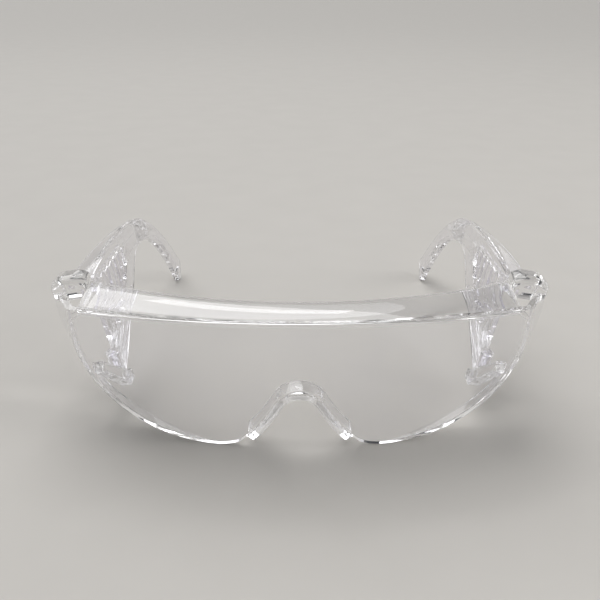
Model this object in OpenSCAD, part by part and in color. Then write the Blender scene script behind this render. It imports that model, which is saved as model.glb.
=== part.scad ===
// Clear wrap-around safety glasses worn over spectacles: one front shield and two folding temples.
// Millimetres. Stored open, standing on the lens lobes and the temple tips. +X is the wearer's left.

/* [Lens] */
// Radius of the front face seen from above
lens_r = 195; // [150:1:260]
// Wall of the moulded front
lens_wall = 2.2; // [1.6:0.1:3]
// Height of the brow's upper face above the lens lobes, at the middle
brow_height = 48.4; // [44:0.2:56]
// How far the brow falls from the middle to the fold
brow_fall = 3.1; // [1:0.1:5]
// Half width of the front panel at its folds
fold_half = 73; // [68:0.5:80]
// Half width of the flat foot under the lobes
foot_half = 30; // [24:0.5:36]
// Height at which the lower corners start to round in
corner_height = 36; // [28:0.5:40]
// Depth of the side returns at the top
return_depth = 19.5; // [14:0.5:24]
// Outward splay of the side returns
return_splay = 28; // [16:1:34]

/* [Brow] */
// Thickness of the brow shelf
brow_wall = 2.2; // [1.6:0.1:3]
// Depth of the brow shelf at the middle
brow_depth = 12; // [8:0.5:18]
// Radius of the shelf's rear edge
brow_rear_r = 136; // [110:1:180]
// How far the shelf's lip stands in front of the lens
brow_lip = 0.6; // [0.2:0.1:1.5]

/* [Nose bridge] */
// Inner radius of the nose arch
nose_r = 6; // [5:0.1:8]
// Height of the arch's centre above the lobes
nose_centre = 13.2; // [11:0.1:16]
// Half width of the arch at the foot
nose_half = 18.6; // [16:0.1:22]
// Wall of the nose flange
nose_wall = 3.4; // [2.4:0.1:4.5]
// Depth of the nose flange behind the front face
nose_depth = 9; // [7:0.5:14]
// Height of the leg ends above the lobes
nose_leg_end = 4.2; // [3:0.1:6]

/* [Hinges] */
// How far the hinge axes lie inside the folds, at the pivot height
hinge_inset = 2.5; // [1:0.1:4]
// Depth of the pivot point below the brow's upper face at the folds
hinge_drop = 5.7; // [3:0.1:9]
// Lean of the hinge axes, tops outward
hinge_lean = 9.3; // [4:0.1:14]
// Radius of the hinge pins
pin_r = 1.2; // [0.9:0.05:1.4]
// Running clearance round the pins
pin_clear = 0.05; // [0.02:0.01:0.1]
// Radius of the knuckles
knuckle_r = 2.4; // [2.1:0.1:2.8]
// Gap between faces that turn past each other
turn_gap = 0.35; // [0.25:0.05:0.6]
// Height of the upper bearing lug
upper_lug_h = 2.8; // [2.2:0.1:4]
// Height of the lower bearing lug
lower_lug_h = 4; // [3:0.2:6]
// Distance of the lower lug's top below the pivot
lower_lug_drop = 33; // [28:0.5:36]
// Width of the gusset that carries the lower lug
gusset_w = 4.2; // [3:0.1:5]
// Height of the temple's lower knuckle
lower_knuckle_h = 6.8; // [4:0.2:9]

/* [Temples] */
// Wall of the temple panel
arm_wall = 2; // [1.5:0.1:2.6]
// Reach of the temple from its hinge axis
arm_reach = 117; // [105:1:130]
// Drop of the tip below the pivot
arm_drop = 58.5; // [50:0.5:66]
// Height of the panel's top corner above the pivot
arm_rise = 4.2; // [3.4:0.1:6]
// Width of the top flange at the hinge
flange_w = 6.3; // [4:0.1:8]
// Length of the top flange
flange_len = 58; // [40:1:66]
// Thickness of the top flange and the lower rib
rib_wall = 1.6; // [1.2:0.1:2.2]
// How far the lower rib stands out of the panel
rib_out = 1.4; // [0.8:0.1:2.4]
// Diameter of the lanyard hole
lanyard_d = 3.2; // [2.4:0.1:4]
// Depth of the oblong recess
recess_depth = 0.5; // [0.3:0.1:0.8]

/* [Vent] */
// Number of louvre bays
vent_bays = 6; // [4:1:8]
// Distance of the vent's front edge from the hinge axis
vent_start = 8.6; // [7:0.1:11]
// Length of the vent
vent_len = 31; // [26:0.5:34]
// Thickness of a louvre slat
slat_wall = 1; // [0.7:0.1:1.4]
// How far the slats stand out of the panel
slat_out = 1.2; // [0.6:0.1:2]

/* [Stance] */
// Forward lean of the lens when the open glasses stand on a table
stance_lean = 7.25; // [5:0.05:10]
// Distance from the hinge axis line to the middle of the whole length
middle_y = 37.7; // [30:0.1:46]
// Height of the lobes' middle above the table, as the leaning edge rolls forward
foot_lift = 0.2; // [0:0.05:0.5]

/* [Hidden] */
$fn = 64;
eps = 0.01;
over = 1;
cut_margin = 5;
front_span = cut_margin + brow_depth + 2 * return_depth;
round_steps = 360;
clear_tint = [0.88, 0.92, 0.94, 0.45];
front_y = -35.4;
arc_y = front_y + lens_r;
hinge_half = fold_half - hinge_inset;
hinge_height = brow_height - brow_fall - hinge_drop;
brow_arch_r = (fold_half * fold_half + brow_fall * brow_fall) / (2 * brow_fall);
foot_y = front_y + lens_r - sqrt(lens_r * lens_r - foot_half * foot_half);
corner_w = fold_half - foot_half;
return_power = 0.28;
return_least = 0.3;
inner_fold_share = 0.85;
least_step = 0.1;
corner_rows = 9;
front_cols = 24;
return_cols = 4;
nose_steps = 24;
lug_bore_r = pin_r + pin_clear;
lower_lug_top = -lower_lug_drop;
vent_pitch = vent_len / vent_bays;
hood_high = 1.7;
hood_low = 0.6;
gusset_reach = 25;
gusset_rise = 21;
gusset_inset = 1.2;
block_w = 10.2;
block_front = 11;
block_low = 2.2;
block_top = 9.4;
block_round = 4;
block_ear_w = 3.6;
block_dome = 9;
block_middle = [3.2, -5.5, 1];
web_wall = 2;
block_root = 1;
gusset_heel = 3;
flare_w = 10;
flare_h = 2.6;
flare_under = 0.2;
flare_steps = 8;
pin_stop = 1;
notch_extra = 0.6;
notch_below = 6;
lanyard_in = 6.7;
lanyard_up = 4.3;
pin_head = 0.4;

// A point at share t of a cubic curve through four control points
function curve(a, b, c, d, t) =
    a * pow(1 - t, 3) + b * 3 * t * pow(1 - t, 2) + c * 3 * t * t * (1 - t) + d * pow(t, 3);
function curve_points(a, b, c, d, steps) = [for (i = [0:steps]) curve(a, b, c, d, i / steps)];

// Stance of the finished glasses: lobes and open tips on the table, middle of the length at the origin
module standing() {
    translate([0, foot_y - middle_y, foot_lift])
        rotate([stance_lean, 0, 0])
            translate([0, -foot_y, 0])
                children();
}

// Frame of the wearer's left hinge: Z up its axis, Y along the open temple, X outward
module hinge_frame() {
    translate([hinge_half, 0, hinge_height])
        rotate([0, hinge_lean, 0])
            children();
}

module hinge_side() {
    standing()
        hinge_frame()
            children();
}

// The wearer's right side is the mirror image
module other_side() {
    mirror([1, 0, 0])
        children();
}

// Drawing in the temple's own plane, given a wall along X
module in_panel(from, wall) {
    translate([from, 0, 0])
        rotate([90, 0, 90])
            linear_extrude(wall)
                children();
}

// Drawing in the front view, given a depth along Y
module in_front(from, depth) {
    translate([0, from + depth, 0])
        rotate([90, 0, 0])
            linear_extrude(depth)
                children();
}

// Lens sheet: rows climb the rounded corners and then the straight sides
function corner_share(j) = 1 - cos(90 * j / corner_rows);
function row_z(j, top) = j <= corner_rows ? corner_height * corner_share(j)
    : corner_height + (top - corner_height) * (j - corner_rows) / 3;
function row_half(z) = z >= corner_height ? fold_half
    : foot_half + corner_w * sqrt(1 - pow(1 - z / corner_height, 2));
function arc_point(x, r) = [x, arc_y - sqrt(r * r - x * x)];
function return_share(z) = min(1, pow(z / corner_height, return_power));
function return_point(z, k) =
    let (f = arc_point(row_half(z), lens_r),
         d = return_least + (return_depth - return_least) * return_share(z))
        [f[0] + d * k * sin(return_splay), f[1] + d * k * cos(return_splay)];
function outer_half(z) = concat(
    [for (i = [0:front_cols / 2]) arc_point(row_half(z) * 2 * i / front_cols, lens_r)],
    [for (i = [1:return_cols]) return_point(z, i / return_cols)]);
function inner_half(z) =
    let (h = row_half(z) - lens_wall * inner_fold_share, r = lens_r - lens_wall,
         back = return_point(z, 1), f = arc_point(h, r),
         b = [back[0] - lens_wall * cos(return_splay), max(back[1], f[1] + least_step)])
    concat(
        [for (i = [0:front_cols / 2]) arc_point(h * 2 * i / front_cols, r)],
        [for (i = [1:return_cols]) f + (b - f) * i / return_cols]);
function both_sides(half) = concat(
    [for (i = [len(half) - 1:-1:1]) [-half[i][0], half[i][1]]], half);
function ring(z) =
    let (inner = both_sides(inner_half(z)), n = len(inner))
    concat(both_sides(outer_half(z)), [for (i = [n - 1:-1:0]) inner[i]]);

// The lens sheet with side returns, before the nose arch is cut
module lens_sheet() {
    top = brow_height - brow_fall - brow_wall - over;
    zs = concat([for (j = [0:corner_rows + 3]) row_z(j, top)], [brow_height]);
    rings = [for (z = zs) [for (p = ring(z)) [p[0], p[1], z]]];
    n = len(rings[0]);
    m = len(rings);
    points = [for (r = rings) each r];
    sides = [for (j = [0:m - 2], i = [0:n - 1])
        let (a = j * n + i, b = j * n + (i + 1) % n, c = a + n, d = b + n)
            each [[a, c, b], [b, c, d]]];
    half = n / 2;
    caps = [for (i = [0:half - 2])
        let (a = i, b = i + 1, c = n - 2 - i, d = n - 1 - i, up = (m - 1) * n)
            each [[a, b, c], [a, c, d], [up + a, up + c, up + b], [up + a, up + d, up + c]]];
    polyhedron(points, concat(sides, caps), convexity = 6);
}

// Brow band seen from the front: the space under its upper or lower face
module under_brow(lower) {
    intersection() {
        translate([0, brow_height - brow_arch_r])
            circle(brow_arch_r - lower, $fn = round_steps);
        translate([-fold_half - return_depth, -over])
            square([2 * (fold_half + return_depth), brow_height + 2 * over]);
    }
}

// Nose arch seen from the front, grown by a wall
module nose_arch(grow) {
    r = nose_r + grow;
    crown = [for (i = [0:nose_steps])
        let (a = 180 * i / nose_steps) [r * cos(a), nose_centre + r * sin(a)]];
    polygon(concat([[nose_half + grow, -over]], crown, [[-nose_half - grow, -over]]));
}

// Rise of the lower edge towards the nose legs
module nose_flare() {
    end = nose_half + flare_w;
    rise = curve_points([end, -flare_under], [end - flare_w / 2, 0],
                        [nose_half + over, flare_h / 2], [nose_half, flare_h], flare_steps);
    fall = [for (i = [flare_steps:-1:0]) [-rise[i][0], rise[i][1]]];
    polygon(concat([[-end, -over], [end, -over]], rise, fall));
}

module front_moulding() {
    difference() {
        intersection() {
            lens_sheet();
            in_front(front_y - cut_margin, front_span)
                under_brow(brow_wall);
        }
        in_front(front_y - cut_margin, front_span / 2) {
            nose_arch(nose_wall);
            nose_flare();
        }
    }
}

module lens_shield() {
    color(clear_tint)
        standing()
            front_moulding();
}

module brow_shelf() {
    rear_y = front_y + brow_depth;
    intersection() {
        in_front(front_y - cut_margin, front_span)
            difference() {
                under_brow(0);
                under_brow(brow_wall);
            }
        difference() {
            intersection() {
                translate([0, arc_y, 0])
                    cylinder(r = lens_r + brow_lip, h = brow_height + over, $fn = round_steps);
                translate([-fold_half, front_y - cut_margin, 0])
                    cube([2 * fold_half, front_span, brow_height + over]);
            }
            translate([0, rear_y + brow_rear_r, -over])
                cylinder(r = brow_rear_r, h = brow_height + 3 * over, $fn = round_steps);
        }
    }
}

module brow_guard() {
    color(clear_tint)
        standing()
            difference() {
                brow_shelf();
                beside_blocks();
                other_side()
                    beside_blocks();
            }
}

module nose_bridge() {
    color(clear_tint)
        standing()
            intersection() {
                in_front(front_y - brow_lip, nose_depth)
                    difference() {
                        nose_arch(nose_wall);
                        nose_arch(0);
                    }
                translate([-fold_half, front_y - cut_margin, nose_leg_end])
                    cube([2 * fold_half, front_span, brow_height]);
            }
}

// Domed body of a corner block, in the hinge frame, with an ear that runs back along the return
module block_plan() {
    rear = -knuckle_r - turn_gap;
    translate([-knuckle_r, -block_front])
        square([knuckle_r + block_w - block_round, block_front + rear]);
    translate([block_w - block_round, -block_front + block_round])
        circle(block_round);
    translate([block_w - block_ear_w, -block_front + block_round])
        square([block_ear_w, block_front - block_round - block_ear_w / 2]);
    translate([block_w - block_ear_w / 2, -block_ear_w / 2])
        circle(block_ear_w / 2);
}

module block_body() {
    intersection() {
        translate([0, 0, block_low])
            linear_extrude(block_top - block_low)
                block_plan();
        translate(block_middle)
            sphere(block_dome);
    }
}

// Space that the brow leaves for a corner block
module beside_blocks() {
    hinge_frame()
        translate([-knuckle_r, -block_front, -block_top])
            cube([3 * block_w, 3 * block_front, 3 * block_top]);
}

module hinge_block() {
    lug_low = -turn_gap - upper_lug_h;
    web_from = -knuckle_r - turn_gap - web_wall;
    difference() {
        hinge_frame()
            difference() {
                union() {
                    block_body();
                    translate([0, 0, lug_low])
                        cylinder(r = knuckle_r, h = upper_lug_h);
                    translate([-knuckle_r, web_from, lug_low])
                        cube([2 * knuckle_r, -web_from, upper_lug_h]);
                    translate([-knuckle_r, web_from, lug_low])
                        cube([2 * knuckle_r, web_wall, block_low + block_root - lug_low]);
                }
                translate([0, 0, lug_low - over])
                    cylinder(r = lug_bore_r, h = upper_lug_h + 2 * over);
            }
        front_moulding();
    }
}

module left_hinge_block() {
    color(clear_tint)
        standing()
            hinge_block();
}

module right_hinge_block() {
    color(clear_tint)
        standing()
            other_side()
                hinge_block();
}

// Lower bearing lug on a gusset that grows from the inside of the lens corner
module lower_lug() {
    lug_low = lower_lug_top - lower_lug_h;
    web_start = -arm_wall / 2 - turn_gap;
    web_end = -knuckle_r - 2 * turn_gap;
    difference() {
        intersection() {
            hinge_frame()
                union() {
                    translate([0, 0, lug_low])
                        cylinder(r = knuckle_r, h = lower_lug_h);
                    in_panel(-gusset_inset - gusset_w, gusset_w)
                        polygon([[web_start, lower_lug_top], [web_start, lug_low],
                                 [web_end - gusset_heel, lug_low], [-gusset_reach, lug_low + gusset_rise],
                                 [-gusset_reach, lower_lug_top + gusset_rise], [web_end, lower_lug_top]]);
                }
            translate([0, arc_y, -brow_height])
                cylinder(r = lens_r - lens_wall / 2, h = 3 * brow_height, $fn = round_steps);
        }
        hinge_frame()
            translate([0, 0, lug_low - over])
                cylinder(r = lug_bore_r, h = lower_lug_h + 2 * over);
        front_moulding();
    }
}

module left_lower_lug() {
    color(clear_tint)
        standing()
            lower_lug();
}

module right_lower_lug() {
    color(clear_tint)
        standing()
            other_side()
                lower_lug();
}

// Temple outline in its own plane: distance from the hinge axis, then height along it
top_steps = 10;
arch_steps = 6;
shoulder = [67, -5.5];
tip_top = [arm_reach - 3, -arm_drop + 9.5];
tip_end = [arm_reach, -arm_drop + 5.5];
tip_heel = [arm_reach - 11.3, -arm_drop + 1];
tip_toe = [arm_reach - 8, -arm_drop];
arch_start = [60, -14.5];
arch_end = [38, -22.5];
rib_start = [knuckle_r - 0.2, -38.6];
function top_edge(drop) = [for (p = concat(
    curve_points([0, arm_rise], [25, arm_rise + 0.4], [50, 0.2], shoulder, top_steps),
    curve_points(shoulder, [88, -14.8], [106, -36], tip_top, top_steps))) p - [0, drop]];
lower_edge = concat(
    curve_points(tip_heel, [97, -40], [84, -17], arch_start, top_steps),
    curve_points(arch_start, [52, -13], [46, -18], arch_end, arch_steps),
    [rib_start]);

module arm_outline() {
    polygon(concat(top_edge(0), [tip_end, tip_toe], lower_edge, [[rib_start[0], 0]], [[0, 0]]));
}

// Vent opening in the panel
vent_end = vent_start + vent_len;
vent_top = [[vent_start, 0.4], [vent_end, -3.7]];
vent_low = [[vent_start, -23.6], [vent_start + 20, -19.4], [vent_end, -11.6]];
function along(a, b, s) = a[1] + (b[1] - a[1]) * (s - a[0]) / (b[0] - a[0]);
function vent_top_at(s) = along(vent_top[0], vent_top[1], s);
function vent_low_at(s) = s < vent_low[1][0] ? along(vent_low[0], vent_low[1], s)
    : along(vent_low[1], vent_low[2], s);

module vent_opening() {
    polygon(concat(vent_top, [vent_low[2], vent_low[1], vent_low[0]]));
}

module temple() {
    half = arm_wall / 2;
    last = 2 * top_steps + 1;
    difference() {
        union() {
            in_panel(-half, arm_wall)
                arm_outline();
            intersection() {
                in_panel(-half, flange_w + half)
                    polygon(concat(top_edge(0), [for (i = [last:-1:0]) top_edge(rib_wall)[i]]));
                translate([0, 0, -arm_drop])
                    linear_extrude(2 * arm_drop)
                        polygon([[-half, 0], [flange_w, 0], [half, flange_len], [-half, flange_len]]);
            }
            in_panel(-half, arm_wall + rib_out)
                polygon([arch_end, rib_start, rib_start + [0, rib_wall], arch_end + [0, rib_wall]]);
            cylinder(r = knuckle_r, h = arm_rise);
            translate([0, 0, lower_lug_top + turn_gap])
                cylinder(r = knuckle_r, h = lower_knuckle_h);
            in_panel(-half, arm_wall)
                translate([0, lower_lug_top + turn_gap])
                    square([rib_start[0] + over, lower_knuckle_h]);
        }
        in_panel(-half - eps, arm_wall + 2 * eps)
            vent_opening();
        translate([half - recess_depth, 0, 0])
            recess_pocket();
        translate([0, 0, -upper_lug_h - 2 * turn_gap])
            cylinder(r = knuckle_r + turn_gap + notch_extra, h = upper_lug_h + 2 * turn_gap);
        translate([0, 0, lower_lug_top - lower_lug_h - notch_below])
            cylinder(r = knuckle_r + turn_gap + notch_extra, h = lower_lug_h + notch_below + turn_gap);
        cylinder(r = pin_r, h = arm_rise - pin_stop);
        translate([0, 0, lower_lug_top - pin_stop])
            cylinder(r = pin_r, h = lower_knuckle_h);
        translate([-half - over, arm_reach - lanyard_in, -arm_drop + lanyard_up])
            rotate([0, 90, 0])
                cylinder(d = lanyard_d, h = arm_wall + 2 * over);
    }
}

// Oblong recess on the outer face, left plain
module recess_pocket() {
    recess_from = 44;
    recess_to = 61;
    recess_r = 2.4;
    recess_fall = 9;
    recess_low = 1.4;
    rotate([-recess_fall, 0, 0])
        rotate([0, 90, 0])
            linear_extrude(recess_depth + over) {
                translate([recess_low, recess_from])
                    circle(recess_r);
                translate([recess_low, recess_to])
                    circle(recess_r);
                translate([recess_low - recess_r, recess_from])
                    square([2 * recess_r, recess_to - recess_from]);
            }
}

module left_temple() {
    color(clear_tint)
        hinge_side()
            temple();
}

module right_temple() {
    color(clear_tint)
        other_side()
            hinge_side()
                temple();
}

// Louvre slats with a saw-tooth row of hoods, drawn past the opening and trimmed to it
module slat(from, width) {
    translate([from, -arm_drop])
        square([width, 2 * arm_drop]);
}

module louvre_drawing() {
    slat(vent_start - slat_wall, 2 * slat_wall);
    slat(vent_end - slat_wall, 2 * slat_wall);
    for (i = [1:vent_bays - 1])
        slat(vent_start + i * vent_pitch - slat_wall / 2, slat_wall);
    for (i = [0:vent_bays - 1]) {
        s = vent_start + i * vent_pitch;
        e = s + vent_pitch + slat_wall / 4;
        polygon([[s, arm_rise], [e, arm_rise],
                 [e, vent_top_at(e) - hood_low], [s, vent_top_at(s) - hood_high]]);
    }
}

module vent_louvres() {
    in_panel(-arm_wall / 2, arm_wall + slat_out)
        intersection() {
            vent_opening();
            louvre_drawing();
        }
}

module left_vent_louvres() {
    color(clear_tint)
        hinge_side()
            vent_louvres();
}

module right_vent_louvres() {
    color(clear_tint)
        other_side()
            hinge_side()
                vent_louvres();
}

module upper_pin() {
    translate([0, 0, -turn_gap - upper_lug_h])
        cylinder(r = pin_r, h = turn_gap + upper_lug_h + arm_rise - pin_stop);
}

module lower_pin() {
    foot = lower_lug_top - lower_lug_h - turn_gap;
    translate([0, 0, foot])
        cylinder(r = pin_r, h = lower_lug_top - pin_stop + lower_knuckle_h - foot);
    translate([0, 0, foot - pin_r])
        cylinder(r = pin_r + pin_head, h = pin_r);
}

module left_upper_pin() {
    color(clear_tint)
        hinge_side()
            upper_pin();
}

module right_upper_pin() {
    color(clear_tint)
        other_side()
            hinge_side()
                upper_pin();
}

module left_lower_pin() {
    color(clear_tint)
        hinge_side()
            lower_pin();
}

module right_lower_pin() {
    color(clear_tint)
        other_side()
            hinge_side()
                lower_pin();
}

lens_shield();
brow_guard();
nose_bridge();
left_hinge_block();
right_hinge_block();
left_lower_lug();
right_lower_lug();
left_temple();
right_temple();
left_vent_louvres();
right_vent_louvres();
left_upper_pin();
right_upper_pin();
left_lower_pin();
right_lower_pin();
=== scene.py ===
"""Clear safety glasses worn over spectacles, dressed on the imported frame.

The meshes are drawn in millimetres, in the upright lens frame or in a hinge frame, and are then taken to
the part's own frame, in metres.
"""
from __future__ import annotations

import logging
import math
from contextlib import contextmanager
from dataclasses import dataclass, field
from enum import Enum
from typing import Iterable, Iterator, Sequence

import bmesh
import bpy
from mathutils import Matrix, Vector

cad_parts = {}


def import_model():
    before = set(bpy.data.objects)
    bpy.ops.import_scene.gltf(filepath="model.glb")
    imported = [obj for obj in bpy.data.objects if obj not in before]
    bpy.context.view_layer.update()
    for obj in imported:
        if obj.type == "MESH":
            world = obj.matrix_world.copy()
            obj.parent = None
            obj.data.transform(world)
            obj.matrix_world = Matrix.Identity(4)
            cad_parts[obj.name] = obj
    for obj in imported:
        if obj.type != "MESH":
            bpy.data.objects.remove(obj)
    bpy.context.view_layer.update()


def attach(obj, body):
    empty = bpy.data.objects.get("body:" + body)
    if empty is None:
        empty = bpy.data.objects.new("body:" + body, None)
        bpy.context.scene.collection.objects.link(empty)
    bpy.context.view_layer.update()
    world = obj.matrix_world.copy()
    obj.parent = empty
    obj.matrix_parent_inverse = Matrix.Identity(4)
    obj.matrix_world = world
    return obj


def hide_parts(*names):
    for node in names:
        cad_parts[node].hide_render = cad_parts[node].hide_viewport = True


log = logging.getLogger("safety_glasses")

Point2 = tuple[float, float]
Point3 = tuple[float, float, float]
MM = 0.001
# Points of a new mesh that are nearer than this, in millimetres, are made one.
SAME_POINT = 1e-4
# The same for a mesh that joins have cut.
JOIN_GAP = 1e-3
# Faces that turn by less than this, in degrees, lie in one plane.
FLAT_ANGLE = 0.6
# Step between the points of a drawn half circle, in degrees.
ARC_STEP = 15
# Share of the nearer point where a line's corners are cut.
NEAR_SHARE = 0.75
# Turns that light may make inside the clear walls.
INNER_TURNS = 200
# The lens's curve seen from above, and half the width of its level foot, in millimetres.
LENS_R = 195.0
FRONT_Y = -35.4
FOOT_HALF = 30.0

UPRIGHT = Matrix.Identity(4)
# A drawing in the temple's plane: its first axis runs back, its second up, its third outwards.
PANEL = Matrix(((0, 0, 1, 0), (1, 0, 0, 0), (0, 1, 0, 0), (0, 0, 0, 1)))
# A drawing seen from the front: its first axis runs across, its second up, its third back.
FRONT = Matrix(((1, 0, 0, 0), (0, 0, 1, 0), (0, 1, 0, 0), (0, 0, 0, 1)))


class Side(Enum):
    """The wearer's sides, with the sign of their X."""

    LEFT = 1
    RIGHT = -1

    @property
    def word(self) -> str:
        """The side's word in the names of nodes and bodies."""
        return self.name.lower()

    @property
    def mirror(self) -> Matrix:
        """The mirror that takes the wearer's left to this side."""
        return Matrix.Diagonal((self.value, 1, 1, 1))


class Join(Enum):
    """Ways of joining two closed meshes."""

    ADD = "UNION"
    CUT = "DIFFERENCE"
    KEEP = "INTERSECT"


def linear(hex_colour: str) -> tuple[float, float, float, float]:
    """Turns an sRGB hex colour to linear.

    Args:
        hex_colour: Six hex digits after a hash.

    Returns:
        Linear red, green, blue and an alpha of 1.
    """
    parts = [int(hex_colour[i:i + 2], 16) / 255 for i in (1, 3, 5)]
    red, green, blue = (c / 12.92 if c <= 0.04045 else ((c + 0.055) / 1.055) ** 2.4 for c in parts)
    return red, green, blue, 1.0


def blank_tree(block: bpy.types.Material | bpy.types.World) -> bpy.types.NodeTree:
    """Gives a material or a world an empty node tree.

    Args:
        block: The material or the world.

    Returns:
        Its tree, with no nodes.
    """
    block.use_nodes = True
    block.node_tree.nodes.clear()
    return block.node_tree


def add_node(tree: bpy.types.NodeTree, kind: str, settings: dict | None = None,
             links: dict | None = None) -> bpy.types.Node:
    """Adds a node with its settings and links.

    Args:
        tree: The tree that takes the node.
        kind: The node's Blender type.
        settings: Attributes by name, and socket values by socket name or number.
        links: Source sockets by the name or number of the input that they feed.

    Returns:
        The new node.
    """
    node = tree.nodes.new(kind)
    for key, value in (settings or {}).items():
        if isinstance(key, str) and hasattr(node, key):
            setattr(node, key, value)
        else:
            node.inputs[key].default_value = value
    for key, source in (links or {}).items():
        tree.links.new(source, node.inputs[key])
    return node


@contextmanager
def opened(mesh: bpy.types.Mesh) -> Iterator[bmesh.types.BMesh]:
    """Opens a mesh for editing, and writes it back at the end.

    Args:
        mesh: The mesh.

    Returns:
        The open mesh.
    """
    bm = bmesh.new()
    bm.from_mesh(mesh)
    yield bm
    bm.to_mesh(mesh)
    bm.free()


def placed(name: str, data: bpy.types.ID) -> bpy.types.Object:
    """Puts a new object in the scene.

    Args:
        name: The object's name.
        data: Its mesh, lamp or camera.

    Returns:
        The object.
    """
    obj = bpy.data.objects.new(name, data)
    bpy.context.scene.collection.objects.link(obj)
    return obj


def close_up(bm: bmesh.types.BMesh) -> None:
    """Makes one point of those in one place, and turns the faces outwards."""
    bmesh.ops.remove_doubles(bm, verts=bm.verts, dist=SAME_POINT)
    bmesh.ops.recalc_face_normals(bm, faces=bm.faces)


def new_object(name: str, verts: Sequence[Sequence[float]],
               faces: Sequence[Sequence[int]]) -> bpy.types.Object:
    """Makes an object with a closed mesh whose faces point outwards.

    Args:
        name: The object's name.
        verts: Its points.
        faces: Its faces, as numbers of points.

    Returns:
        The object, in the scene.
    """
    mesh = bpy.data.meshes.new(name)
    with opened(mesh) as bm:
        made = [bm.verts.new(v) for v in verts]
        for face in faces:
            bm.faces.new([made[i] for i in face])
        close_up(bm)
    return placed(name, mesh)


def settle(obj: bpy.types.Object) -> None:
    """Makes an object's modifiers part of its mesh.

    Args:
        obj: The object, which loses its modifiers.
    """
    bpy.context.view_layer.update()
    graph = bpy.context.evaluated_depsgraph_get()
    mesh = bpy.data.meshes.new_from_object(obj.evaluated_get(graph))
    old = obj.data
    obj.modifiers.clear()
    obj.data = mesh
    bpy.data.meshes.remove(old)
    mesh.name = obj.name


def join(obj: bpy.types.Object, tool: bpy.types.Object, how: Join) -> None:
    """Joins a tool to an object and removes the tool.

    Args:
        obj: The object that is changed.
        tool: The other closed mesh.
        how: The kind of join.
    """
    mod = obj.modifiers.new("join", "BOOLEAN")
    mod.operation = how.value
    mod.solver = "MANIFOLD"
    mod.object = tool
    settle(obj)
    bpy.data.meshes.remove(tool.data)


def moved(obj: bpy.types.Object, matrix: Matrix) -> bpy.types.Object:
    """Moves an object's mesh, with its faces kept outwards.

    Args:
        obj: The object.
        matrix: The move, which may mirror.

    Returns:
        The same object.
    """
    obj.data.transform(matrix)
    if matrix.determinant() < 0:
        obj.data.flip_normals()
    return obj


def circle(centre: Point2, radius: float, steps: int = 48) -> list[Point2]:
    """Points of a circle.

    Args:
        centre: Its centre.
        radius: Its radius.
        steps: Count of points.

    Returns:
        The points in order.
    """
    return [(centre[0] + radius * math.cos(2 * math.pi * i / steps),
             centre[1] + radius * math.sin(2 * math.pi * i / steps)) for i in range(steps)]


def arc_points(centre: Point2, radius: float, angles: Iterable[float]) -> list[Point2]:
    """Points of an arc.

    Args:
        centre: Its centre.
        radius: Its radius.
        angles: The points' angles, in degrees.

    Returns:
        The points in order.
    """
    turns = [math.radians(a) for a in angles]
    return [(centre[0] + radius * math.cos(a), centre[1] + radius * math.sin(a)) for a in turns]


def bezier(a: Point2, b: Point2, c: Point2, d: Point2, steps: int) -> list[Point2]:
    """Points of a cubic curve.

    Args:
        a: Its start.
        b: The control point after the start.
        c: The control point before the end.
        d: Its end.
        steps: Count of steps.

    Returns:
        The points in order, with both ends.
    """
    out = []
    for i in range(steps + 1):
        t = i / steps
        k = ((1 - t) ** 3, 3 * t * (1 - t) ** 2, 3 * t * t * (1 - t), t ** 3)
        out.append((sum(w * p[0] for w, p in zip(k, (a, b, c, d))),
                    sum(w * p[1] for w, p in zip(k, (a, b, c, d)))))
    return out


def rounded_box(across: Point2, up: Point2, radius: float, steps: int) -> list[Point2]:
    """Points of a rectangle with rounded corners.

    Args:
        across: Where it starts and ends along the first axis.
        up: Where it starts and ends along the second.
        radius: Radius of the corners.
        steps: Count of steps in each corner.

    Returns:
        The points in order, from the upper corner at the start of the first axis.
    """
    (front, rear), (low, high) = across, up
    out = []
    for y, z, start in ((front + radius, high - radius, 90), (front + radius, low + radius, 180),
                        (rear - radius, low + radius, 270), (rear - radius, high - radius, 0)):
        out += arc_points((y, z), radius, [start + 90 * k / steps for k in range(steps + 1)])
    return out


def heading(path: Sequence[Vector], i: int) -> Vector:
    """The direction of a path at one of its points.

    Args:
        path: The points in order.
        i: The point's number.

    Returns:
        The direction, of length 1.
    """
    return (path[min(i + 1, len(path) - 1)] - path[max(i - 1, 0)]).normalized()


def ring_faces(rings: int, n: int) -> list[list[int]]:
    """Faces between neighbouring rings of points.

    Args:
        rings: Count of rings.
        n: Count of points in each ring.

    Returns:
        Four-sided faces, as numbers of points.
    """
    return [[j * n + i, j * n + (i + 1) % n, (j + 1) * n + (i + 1) % n, (j + 1) * n + i]
            for j in range(rings - 1) for i in range(n)]


def prism(name: str, outline: Sequence[Point2], low: float, high: float, turn: Matrix) -> bpy.types.Object:
    """Makes a prism over a drawing.

    Args:
        name: The object's name.
        outline: The drawing's points, in order.
        low: Where the prism starts along the drawing's third axis.
        high: Where it ends.
        turn: Takes the drawing's axes to the frame that is wanted.

    Returns:
        The closed prism.
    """
    n = len(outline)
    verts = [turn @ Vector((x, y, z)) for z in (low, high) for x, y in outline]
    ends = [list(range(n)), list(range(n, 2 * n))]
    return new_object(name, verts, ends + ring_faces(2, n))


def post(name: str, radius: float, low: float, high: float) -> bpy.types.Object:
    """Makes a round post on the hinge axis.

    Args:
        name: The object's name.
        radius: Its radius.
        low: The height of its foot.
        high: The height of its head.

    Returns:
        The closed post, in the left hinge's frame.
    """
    return prism(name, circle((0, 0), radius), low, high, UPRIGHT)


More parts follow.
